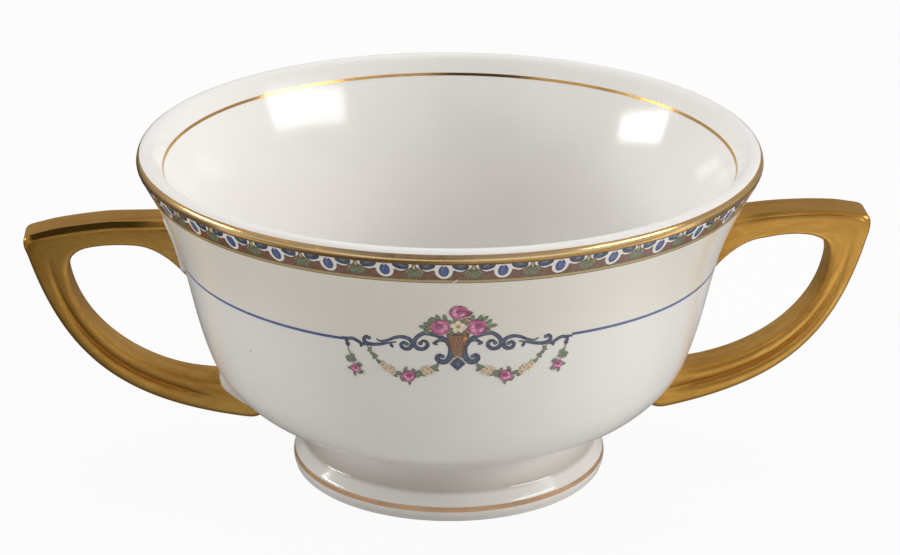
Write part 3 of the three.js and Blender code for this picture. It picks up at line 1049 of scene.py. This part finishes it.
def smoothRoute(stops, steps=5):
    spots = [edgePoint(x, z) for x, z in stops]
    ends = [2 * spots[0] - spots[1], *spots, 2 * spots[-1] - spots[-2]]
    runs = []
    for before, start, end, after in zip(ends, ends[1:], ends[2:], ends[3:]):
        leave, arrive = start + (end - before) / 6, end - (after - start) / 6
        runs.append(interpolate_bezier(start, leave, arrive, end, steps + 1))
    return chain(*runs)


def pressure(share, press):
    start, middle, end = press
    rest = start if share < 0.5 else end
    return rest + (middle - rest) * math.sin(math.pi * share)


# a drawn line: short edges across its route, bridged one after another
def stroke(sheet, route, press, colour, fade=None):
    shape = sheet["shape"]
    last = len(route) - 1
    coat = nextCoat(sheet)
    edges = []
    for index, spot in enumerate(route):
        run = (route[min(index + 1, last)] - route[max(index - 1, 0)]).normalized()
        aside = point(-run.z, run.x) * pressure(index / last, press) * mm / 2
        pair = [shape.verts.new(spot + offset) for offset in (aside, -aside)]
        for vert in pair:
            vert.co.y = coat
            vert[sheet["paint"]] = colour.lerp(fade, index / last) if fade else colour
        edges.append(shape.edges.new(pair))
    for first, second in zip(edges, edges[1:]):
        bmesh.ops.bridge_loops(shape, edges=[first, second])


def drawRoute(sheet, stops, press, colour, fade=None, side=1, steps=5):
    stroke(sheet, smoothRoute([(side * x, z) for x, z in stops], steps), press, colour, fade)


def spotRound(centre, wide, high, angle):
    turn = math.radians(angle)
    return centre[0] + wide * math.cos(turn), centre[1] + high * math.sin(turn)


def onWall(across, height, lift, turn):
    place = surfaceAt(outerWall, height, lift)
    angle = math.radians(turn) + across / place.x
    return Vector((place.x * math.sin(angle), -place.x * math.cos(angle), place.z))


def wrapPrint(sheet, turn, height, top=None):
    shape = sheet["shape"]
    if top is not None:
        whole = shape.verts[:] + shape.edges[:] + shape.faces[:]
        bmesh.ops.bisect_plane(shape, geom=whole, dist=mergeDistance, plane_co=(0, 0, top),
                               plane_no=(0, 0, 1), clear_outer=True)
    made = bmesh.ops.extrude_face_region(shape, geom=shape.faces[:], use_keep_orig=True)
    backs = [item for item in made["geom"] if isinstance(item, bmesh.types.BMVert)]
    bmesh.ops.translate(shape, verts=backs, vec=(0, printWork["thick"], 0))
    for vert in shape.verts:
        vert.co = onWall(vert.co.x, height + vert.co.z, -vert.co.y, turn)
    return shape


# slip round the roots of the handles: a thin bead that follows the joint on the wall (millimetres)
seam = {
    "half": 3.3,
    "sunk": 0.25 * mm,
    "cornerSteps": 8,
    "spacing": 0.8,
    "sides": 10,
    "upper": {"top": 41.35, "bottom": 32.9, "corner": (1.2, 1.4),
              "right": 0.36 * mm, "left": 0.45 * mm},
    "lower": {"top": 15.1, "bottom": 11.9, "corner": (1.3, 0.7),
              "right": 0.45 * mm, "left": 1.15 * mm},
}


def seamRoute(size):
    across, rise = size["corner"]
    wide, middle = seam["half"] - across, (size["top"] + size["bottom"]) / 2
    tall = (size["top"] - size["bottom"]) / 2 - rise
    steps = seam["cornerSteps"]
    route = []
    for start, side, up in ((0, 1, 1), (90, -1, 1), (180, -1, -1), (270, 1, -1)):
        centre = (side * wide, middle + up * tall)
        route += [spotRound(centre, across, rise, start + 90 * step / steps) for step in range(steps + 1)]
    route.append(route[0])
    stops = []
    for (x, z), (nextX, nextZ) in zip(route, route[1:]):
        pieces = max(round(math.hypot(nextX - x, nextZ - z) / seam["spacing"]), 1)
        stops += [(x + (nextX - x) * i / pieces, z + (nextZ - z) * i / pieces) for i in range(pieces)]
    return stops


def buildSeam(name, size, turn, side, node):
    shape = bmesh.new()
    raised, bead = handle[side]["lift"], size[side]
    places = [onWall(x * mm, z * mm + raised, bead - seam["sunk"], turn) for x, z in seamRoute(size)]
    rings = []
    for before, place, after in zip(places[-1:] + places, places, places[1:] + places[:1]):
        aim = Matrix.Translation(place) @ (after - before).to_track_quat("Z", "Y").to_matrix().to_4x4()
        made = bmesh.ops.create_circle(shape, segments=seam["sides"], radius=bead, matrix=aim)
        rings.append(list({edge for vert in made["verts"] for edge in vert.link_edges}))
    for first, second in zip(rings, rings[1:] + rings[:1]):
        bmesh.ops.bridge_loops(shape, edges=first + second)
    addPiece(name, shape, slip, [node])


for side, turn in (("right", 90), ("left", -90)):
    for level in ("upper", "lower"):
        node = "handle_" + side + "_" + level + "_seam"
        buildSeam(node + "_bead", seam[level], turn, side, node)
print("handle slip laid")

# the ivory ground between the border and the blue line
ground = {"top": 47.3 * mm, "bottom": 36.2 * mm, "lift": 0.022 * mm, "thick": 0.014 * mm, "steps": 24}
groundBand = bandOn(outerWall, ground["top"], ground["bottom"], ground["lift"], ground["thick"],
                    ground["steps"])
addPiece("ivory_band", spun(groundBand), ivory, ["ivory_ground"], crisp=True)

# the border: flowers that hang from the gold, with leaves between them, over a brown ground
border = {
    "repeats": 36,
    "first": -4.53,
    "top": 50.72 * mm,
    "bottom": 47.3 * mm,
    "groundGap": 0.02 * mm,
    "lineHigh": 0.66 * mm,
    "hair": 0.13 * mm,
    "edgeOver": 0.03 * mm,
    "edgeUnder": 0.1 * mm,
    "edgeRaised": 0.05 * mm,
    "brown": tone(112, 70, 40),
    "olive": tone(176, 158, 98),
    "lineEdge": tone(112, 78, 46),
    "white": tone(238, 236, 233),
    "blue": tone(60, 82, 144),
    "blueLight": tone(104, 128, 178),
    "blueEdge": tone(32, 46, 74),
    "navy": tone(42, 57, 90),
    "sheen": tone(112, 134, 130),
    "leaf": tone(122, 134, 94),
    "leafDark": tone(84, 95, 66),
    "ochre": tone(168, 138, 84),
    "ochreLight": tone(226, 196, 120),
}


def addBorder(name, shape, crisp=True):
    addPiece(name, shape, borderEnamel, ["border_print"], crisp)


def borderBand(name, high, low, colour, raised=0.0):
    lift = printWork["base"] - printWork["thick"] + raised
    shape = spun(bandOn(outerWall, high, low, lift, printWork["thick"]))
    paint = shape.verts.layers.float_color.new("paint")
    for vert in shape.verts:
        vert[paint] = border[colour]
    addBorder(name, shape)


borderTop, lineLow, hair = border["top"], border["bottom"], border["hair"]
lineTop = lineLow + border["lineHigh"]
borderBand("border_ground", borderTop - border["groundGap"], lineTop, "brown")
borderBand("border_foot_line", lineTop - hair, lineLow + hair, "olive")
borderBand("border_gold_edge", borderTop + border["edgeOver"], borderTop - border["edgeUnder"], "lineEdge",
           border["edgeRaised"])
borderBand("border_line_upper_edge", lineTop, lineTop - hair, "lineEdge")
borderBand("border_line_lower_edge", lineLow + hair, lineLow, "lineEdge")


def borderOutline(sheet):
    white = border["white"]
    for side in (-1, 1):
        dab(sheet, (side * 3.05, -0.22), (0.84, 0.66), white)
        dab(sheet, (side * 2.25, -0.4), (1.0, 0.9), white)
        dab(sheet, (side * 1.4, -0.36), (0.7, 0.74), white)
    dab(sheet, (0, -1.22), (1.24, 1.36), white, sides=20)
    dab(sheet, (0, -0.3), (1.2, 0.5), white)


def borderPetals(sheet):
    blue, edge, navy = border["blue"], border["blueEdge"], border["navy"]
    dab(sheet, (0, -1.2), (0.74, 1.0), edge, sides=16)
    dab(sheet, (0.02, -1.22), (0.56, 0.82), blue, sides=14)
    dab(sheet, (-0.12, -1.05), (0.18, 0.4), blue, border["blueLight"], sides=8)
    for side in (-1, 1):
        dab(sheet, (side * 2.3, -0.24), (1.2, 0.76), edge, turn=-side * 10, sides=16)
        dab(sheet, (side * 2.3, -0.25), (1.05, 0.6), navy, turn=-side * 10, sides=14)
        dab(sheet, (side * 2.4, -0.24), (0.72, 0.26), navy, border["sheen"], turn=-side * 12, sides=10)


def borderLeaves(sheet):
    dark, green, ochre = border["leafDark"], border["leaf"], border["ochre"]
    dab(sheet, (0, -0.62), (0.5, 0.6), dark, sides=10)
    for side in (-1, 1):
        dab(sheet, (side * 0.62, -1.95), (0.46, 0.78), dark, green, turn=-side * 62, tip=0.7, sides=10)
        dab(sheet, (side * 0.42, -1.45), (0.30, 0.52), dark, green, turn=-side * 28, tip=0.7, sides=10)
    dab(sheet, (0, -1.85), (0.42, 0.75), dark, green, turn=180, tip=0.6, sides=10)
    dab(sheet, (0, -0.55), (0.2, 0.5), ochre, border["ochreLight"], tip=0.8, sides=8)
    for side in (-1, 1):
        dab(sheet, (side * 0.95, -1.3), (0.12, 0.5), ochre, turn=side * 38, tip=0.6, sides=8)


def repeatPrint(name, draw, raised, shift):
    joined = bmesh.new()
    step = 360 / border["repeats"]
    for repeat in range(border["repeats"]):
        sheet = startPrint(raised)
        draw(sheet)
        wrapped = wrapPrint(sheet, border["first"] + (repeat + shift) * step, border["top"], top=0)
        mesh = bpy.data.meshes.new("repeat")
        wrapped.to_mesh(mesh)
        wrapped.free()
        joined.from_mesh(mesh)
        bpy.data.meshes.remove(mesh)
    addBorder(name, joined)


repeatPrint("border_leaves", borderLeaves, 0.0, 0.5)
repeatPrint("border_petal_outlines", borderOutline, printWork["outlines"], 0)
repeatPrint("border_petals", borderPetals, printWork["petals"], 0)
chip = {"turn": -2.65, "height": 47.62 * mm, "colour": tone(214, 202, 186)}
chipped = startPrint(printWork["chip"])
dab(chipped, (0.1, 0.12), (0.2, 0.46), chip["colour"], turn=-52, sides=7)
dab(chipped, (-0.18, -0.16), (0.3, 0.2), chip["colour"], turn=12, sides=6)
addBorder("border_chip", wrapPrint(chipped, chip["turn"], chip["height"]), crisp=False)
print("border printed:", border["repeats"], "repeats")


# the blue line, drawn by hand from each handle to the medallions (degrees round the wall, mm up)

blueLine = {
    "radius": 41.3,
    "press": (0.36, 0.46, 0.46),
    "steps": 10,
    "colour": tone(110, 130, 188),
    "dark": tone(58, 78, 130),
    "left": [(-85.8, 36.1), (-70, 36.1), (-54, 36.05), (-40, 35.98), (-30, 35.94), (-24.6, 35.98)],
    "right": [(85.8, 35.95), (70, 35.9), (54, 35.92), (42, 36.08), (30, 36.26), (21.4, 36.4)],
}
for face, turn, ends in (("front", 0, ("left", "right")), ("back", 180, ("right", "left"))):
    for side, end in zip(("left", "right"), ends):
        sheet = startPrint()
        stops = [(math.radians(angle) * blueLine["radius"], height) for angle, height in blueLine[side]]
        drawRoute(sheet, stops, blueLine["press"], blueLine["colour"], blueLine["dark"],
                  steps=blueLine["steps"])
        node = "blue_line_" + face + "_" + end
        addPiece(node + "_stroke", wrapPrint(sheet, turn, 0), blueEnamel, [node], crisp=True)
print("blue lines drawn")


# the medallion: a basket of roses between two scrolls, with a festoon and a pendant rose on each side;
# places are in millimetres from its middle, and turns in degrees

medallion = {
    "turn": -1.9,
    "height": 36.05 * mm,
    "pendantRise": {-1: 0.0, 1: 0.45},
    "roseLean": {-1: 60, 1: 120},
    "scroll": tone(54, 63, 92),
    "scrollLight": tone(82, 108, 148),
    "rose": tone(196, 98, 146),
    "roseLight": tone(244, 192, 214),
    "roseDeep": tone(138, 46, 92),
    "leaf": tone(126, 146, 104),
    "leafDark": tone(84, 98, 74),
    "stem": tone(120, 132, 95),
    "cream": tone(250, 243, 220),
    "orange": tone(233, 151, 76),
    "basket": tone(122, 82, 56),
    "cane": tone(156, 112, 66),
    "caneDark": tone(84, 58, 44),
    "ribbon": tone(206, 192, 180),
    "floret": tone(220, 196, 172),
    "petalShade": tone(222, 204, 168),
    "slate": tone(58, 66, 90),
    "teal": tone(72, 108, 140),
}
scrolls = [
    {"press": (0.18, 0.66, 0.42),
     "stops": [(11.63, 0.61), (11.05, 0.28), (9.99, 0.52), (8.81, 1.13), (7.76, 1.28), (6.82, 0.92),
               (6.44, 0.17), (6.86, -0.63), (7.64, -0.69), (8.04, -0.09), (7.64, 0.37), (7.24, 0.11)]},
    {"press": (0.80, 0.66, 0.42),
     "stops": [(1.2, 0.2), (1.65, 0.95), (2.4, 1.5), (3.4, 1.9), (4.82, 2.06), (5.88, 1.21), (6.16, 0.19),
               (5.64, -0.56), (4.82, -0.6), (4.28, 0), (4.47, 0.64), (5.0, 0.74), (5.29, 0.32)]},
    {"press": (0.46, 0.86, 0.46),
     "stops": [(3.29, 0.52), (2.47, 0.99), (1.53, 0.78), (1.01, -0.23), (0.99, -1.38), (1.36, -2.38),
               (2.07, -2.79), (2.73, -2.46), (2.87, -1.93), (2.54, -1.6), (2.16, -1.82)]},
    {"press": (0.16, 0.60, 0.40),
     "stops": [(8.7, 0.36), (9.87, 0.07), (11.05, -0.26), (12.46, -0.45), (13.28, -0.2), (13.44, 0.4),
               (13.11, 0.85), (12.74, 0.65)]},
    {"press": (0.40, 0.56, 0.40),
     "stops": [(12.46, -0.3), (13.63, -0.62), (14.2, -0.29), (15.04, 0.15), (15.75, 0.08), (16.12, -0.33),
               (15.93, -0.87)]},
]


def drawScrolls(sheet, side):
    dark, light = medallion["scroll"], medallion["scrollLight"]
    for line in scrolls:
        route = smoothRoute([(side * x, z) for x, z in line["stops"]], 6)
        stroke(sheet, route, line["press"], dark)
        stroke(sheet, route[2:-2], [0.34 * wide for wide in line["press"]], light, dark)
        curl = line["stops"][-1]
        dab(sheet, (side * curl[0], curl[1]), (0.36, 0.34), dark, light, sides=10)
    drawRoute(sheet, [(16.0, 0.1), (16.9, 0.08)], (0.5, 0.4, 0.34), dark, blueLine["dark"], side)
    for x, z, turn in ((9.4, -0.35, 150), (13.9, -0.75, 180), (3.2, 0.36, 120), (15.9, -0.95, 180)):
        dab(sheet, (side * x, z), (0.26, 0.46), dark, turn=side * turn, tip=0.6, sides=10)


def drawDiamond(sheet):
    slate, teal = medallion["slate"], medallion["teal"]
    for size, heart in ((1.0, slate), (0.6, teal)):
        dab(sheet, (0, -3.05), (1.13 * size, 1.2 * size), slate, heart, sides=4)


def drawBasket(sheet):
    cane, dark = medallion["cane"], medallion["caneDark"]
    drawRoute(sheet, [(0, 2.2), (0, 0.8), (0, -0.6), (0, -2.0)], (3.2, 2.4, 1.1), medallion["basket"])
    for side in (-1, 1):
        for x in (-1.1, -0.55, 0, 0.55):
            upper = [(x * 1.1, 2.1), ((x + 0.75) * 0.72, 0.1)]
            lower = [(x * 0.7, 0.1), ((x + 0.5) * 0.5, -1.7)]
            drawRoute(sheet, upper, (0.10, 0.16, 0.10), cane, side=side)
            drawRoute(sheet, lower, (0.08, 0.14, 0.08), cane, side=side)
        drawRoute(sheet, [(1.56, 2.1), (1.08, -0.2), (0.56, -1.95)], (0.2, 0.24, 0.2), dark, side=side)
        drawRoute(sheet, [(0, -1.72), (1.45, -3.1)], (0.14, 0.20, 0.10), medallion["ribbon"], side=side)
    drawRoute(sheet, [(-1.5, 2.05), (0, 1.9), (1.5, 2.05)], (0.2, 0.28, 0.2), dark)
    dab(sheet, (1.05, 1.25), (0.34, 0.42), cane, medallion["orange"], turn=-30, sides=8)


def rose(sheet, centre, wide, high, lean):
    main, light, deep = medallion["rose"], medallion["roseLight"], medallion["roseDeep"]
    for petal in range(6):
        angle = lean + petal * 60
        spot = spotRound(centre, 0.52 * wide, 0.52 * high, angle)
        edge = deep if petal % 2 else main
        dab(sheet, spot, (0.54 * wide, 0.5 * high), edge, main, turn=angle - 90, sides=10)
    dab(sheet, centre, (0.66 * wide, 0.64 * high), main, sides=12)
    for turn, reach, size in ((200, 0.46, 0.46), (130, 0.40, 0.38), (290, 0.50, 0.36)):
        spot = spotRound(centre, reach * wide, reach * high, lean + turn)
        dab(sheet, spot, (size * wide, 0.7 * size * high), main, light, turn=lean + turn - 90, sides=10)
    heart = (centre[0] + 0.16 * wide * math.cos(math.radians(lean)), centre[1] + 0.16 * high)
    dab(sheet, heart, (0.42 * wide, 0.36 * high), deep, main, sides=10)
    dab(sheet, heart, (0.2 * wide, 0.18 * high), deep, sides=8)


def leaves(sheet, places, length, wide, side=1, rise=0.0):
    dark, green = medallion["leafDark"], medallion["leaf"]
    for x, z, turn in places:
        dab(sheet, (side * x, z + rise), (wide, length), dark, green, turn=side * turn, tip=0.85, sides=10)


def floret(sheet, x, z, size, petals=5, bloom="cream"):
    for petal in range(petals):
        spot = spotRound((x, z), size, size, 90 + petal * 360 / petals)
        dab(sheet, spot, (0.66 * size, 0.7 * size), medallion["petalShade"], medallion[bloom], sides=8)
    dab(sheet, (x, z), (0.42 * size, 0.42 * size), medallion["cane"], medallion["orange"], sides=8)


def drawBouquet(sheet):
    leaves(sheet, ((-1.9, 5.0, 20), (-2.9, 4.95, 25), (-3.5, 4.6, 45), (-4.0, 4.2, 5), (-4.4, 3.7, 60),
                   (-5.0, 3.25, 85), (-4.3, 2.9, 110), (-4.5, 2.3, 80), (2.0, 4.9, -15), (3.1, 4.85, -20),
                   (3.8, 4.75, -50), (4.4, 4.1, -40), (5.0, 3.4, -85), (4.5, 3.2, -60),
                   (4.3, 2.5, -110)), 0.62, 0.34)
    leaves(sheet, ((-0.9, 2.2, 150), (0.9, 2.2, -150), (-0.5, 4.5, 30), (0.7, 4.4, -40), (-1.1, 2.7, 120),
                   (0.1, 2.4, 175), (1.2, 3.9, -60), (-1.2, 4.2, 50)), 0.5, 0.28)
    for x, z, turn in ((-3.9, 3.3, 80), (0.1, 4.45, 10), (1.3, 2.6, -30), (1.2, 4.6, -60)):
        dab(sheet, (x, z), (0.3, 0.5), medallion["caneDark"], medallion["orange"], turn=turn, sides=8)
    dab(sheet, (1.35, 5.7), (0.6, 0.75), medallion["roseDeep"], turn=-75, tip=0.8, sides=10)
    rose(sheet, (0.05, 5.95), 1.55, 1.15, 20)
    rose(sheet, (-2.5, 3.25), 1.42, 1.46, 160)
    rose(sheet, (2.68, 3.22), 1.48, 1.42, 30)
    floret(sheet, 0, 3.4, 0.66)


def drawFestoon(sheet, side):
    garland = [(13.0, -0.68), (12.3, -1.87), (11.4, -3.16), (10.1, -4.3), (8.7, -5.06), (6.9, -5.4),
               (5.4, -4.66), (4.0, -4.15), (2.82, -3.3)]
    drawRoute(sheet, garland, (0.16, 0.22, 0.16), medallion["stem"], side=side)
    leaves(sheet, ((12.6, -1.3, 35), (12.2, -2.1, -60), (11.8, -2.5, 50), (11.3, -3.3, -50),
                   (10.9, -3.4, 60), (9.4, -4.4, 70), (9.0, -5.3, -60), (8.3, -4.9, 100), (7.9, -5.9, -40),
                   (7.4, -4.2, 30), (6.2, -4.4, -30), (5.7, -5.3, -110), (5.3, -4.5, 80), (4.9, -5.0, -80),
                   (3.4, -3.6, 60), (3.1, -4.0, -60), (2.9, -3.4, 20), (6.8, -6.4, 180)), 0.55, 0.26, side)
    for x, z in ((10.7, -3.7), (10.3, -4.3), (9.6, -4.2), (9.3, -4.9),
                 (4.8, -4.1), (4.2, -4.0), (4.4, -4.7), (3.7, -4.4)):
        floret(sheet, side * x, z, 0.34, 4, "floret")
    rose(sheet, (side * 6.95, -5.35), 1.06, 0.98, medallion["roseLean"][side])
    rise = medallion["pendantRise"][side]
    stem = [(15.95, -1.2), (15.8, -1.8), (15.6, -2.4), (15.5, -3.2), (15.0, -4.0 + rise)]
    drawRoute(sheet, stem, (0.14, 0.18, 0.14), medallion["stem"], side=side)
    leaves(sheet, ((15.3, -2.7, -50), (15.9, -3.1, 70), (15.1, -3.4, -70), (15.7, -3.7, 110),
                   (14.2, -4.1, -60), (15.5, -5.0, 110), (14.0, -5.5, -120), (14.9, -5.8, 170)),
           0.5, 0.24, side, rise)
    rose(sheet, (side * 14.75, -4.85 + rise), 0.78, 0.74, 90)


for face, turn in (("front", medallion["turn"]), ("back", medallion["turn"] + 180)):
    node = "medallion_" + face
    scrollSheet, basketSheet = startPrint(), startPrint(printWork["basket"])
    flowerSheet = startPrint(printWork["flowers"])
    for side in (-1, 1):
        drawScrolls(scrollSheet, side)
        drawFestoon(flowerSheet, side)
        flowerSheet["lift"] = printWork["base"] + printWork["flowers"]  # no overlap: start low again
    drawDiamond(scrollSheet)
    drawBasket(basketSheet)
    drawBouquet(flowerSheet)
    for name, sheet, material, slotName in (("_scrolls", scrollSheet, blueEnamel, "blue_enamel"),
                                            ("_basket", basketSheet, flowerEnamel, "flower_enamel"),
                                            ("_flowers", flowerSheet, flowerEnamel, "flower_enamel")):
        shape = wrapPrint(sheet, turn, medallion["height"])
        addPiece(node + name, shape, material, [node], crisp=True)
print("medallions painted")

size = {"cad": [list(corner) for corner in cadBox], "visual": [list(corner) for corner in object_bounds()]}
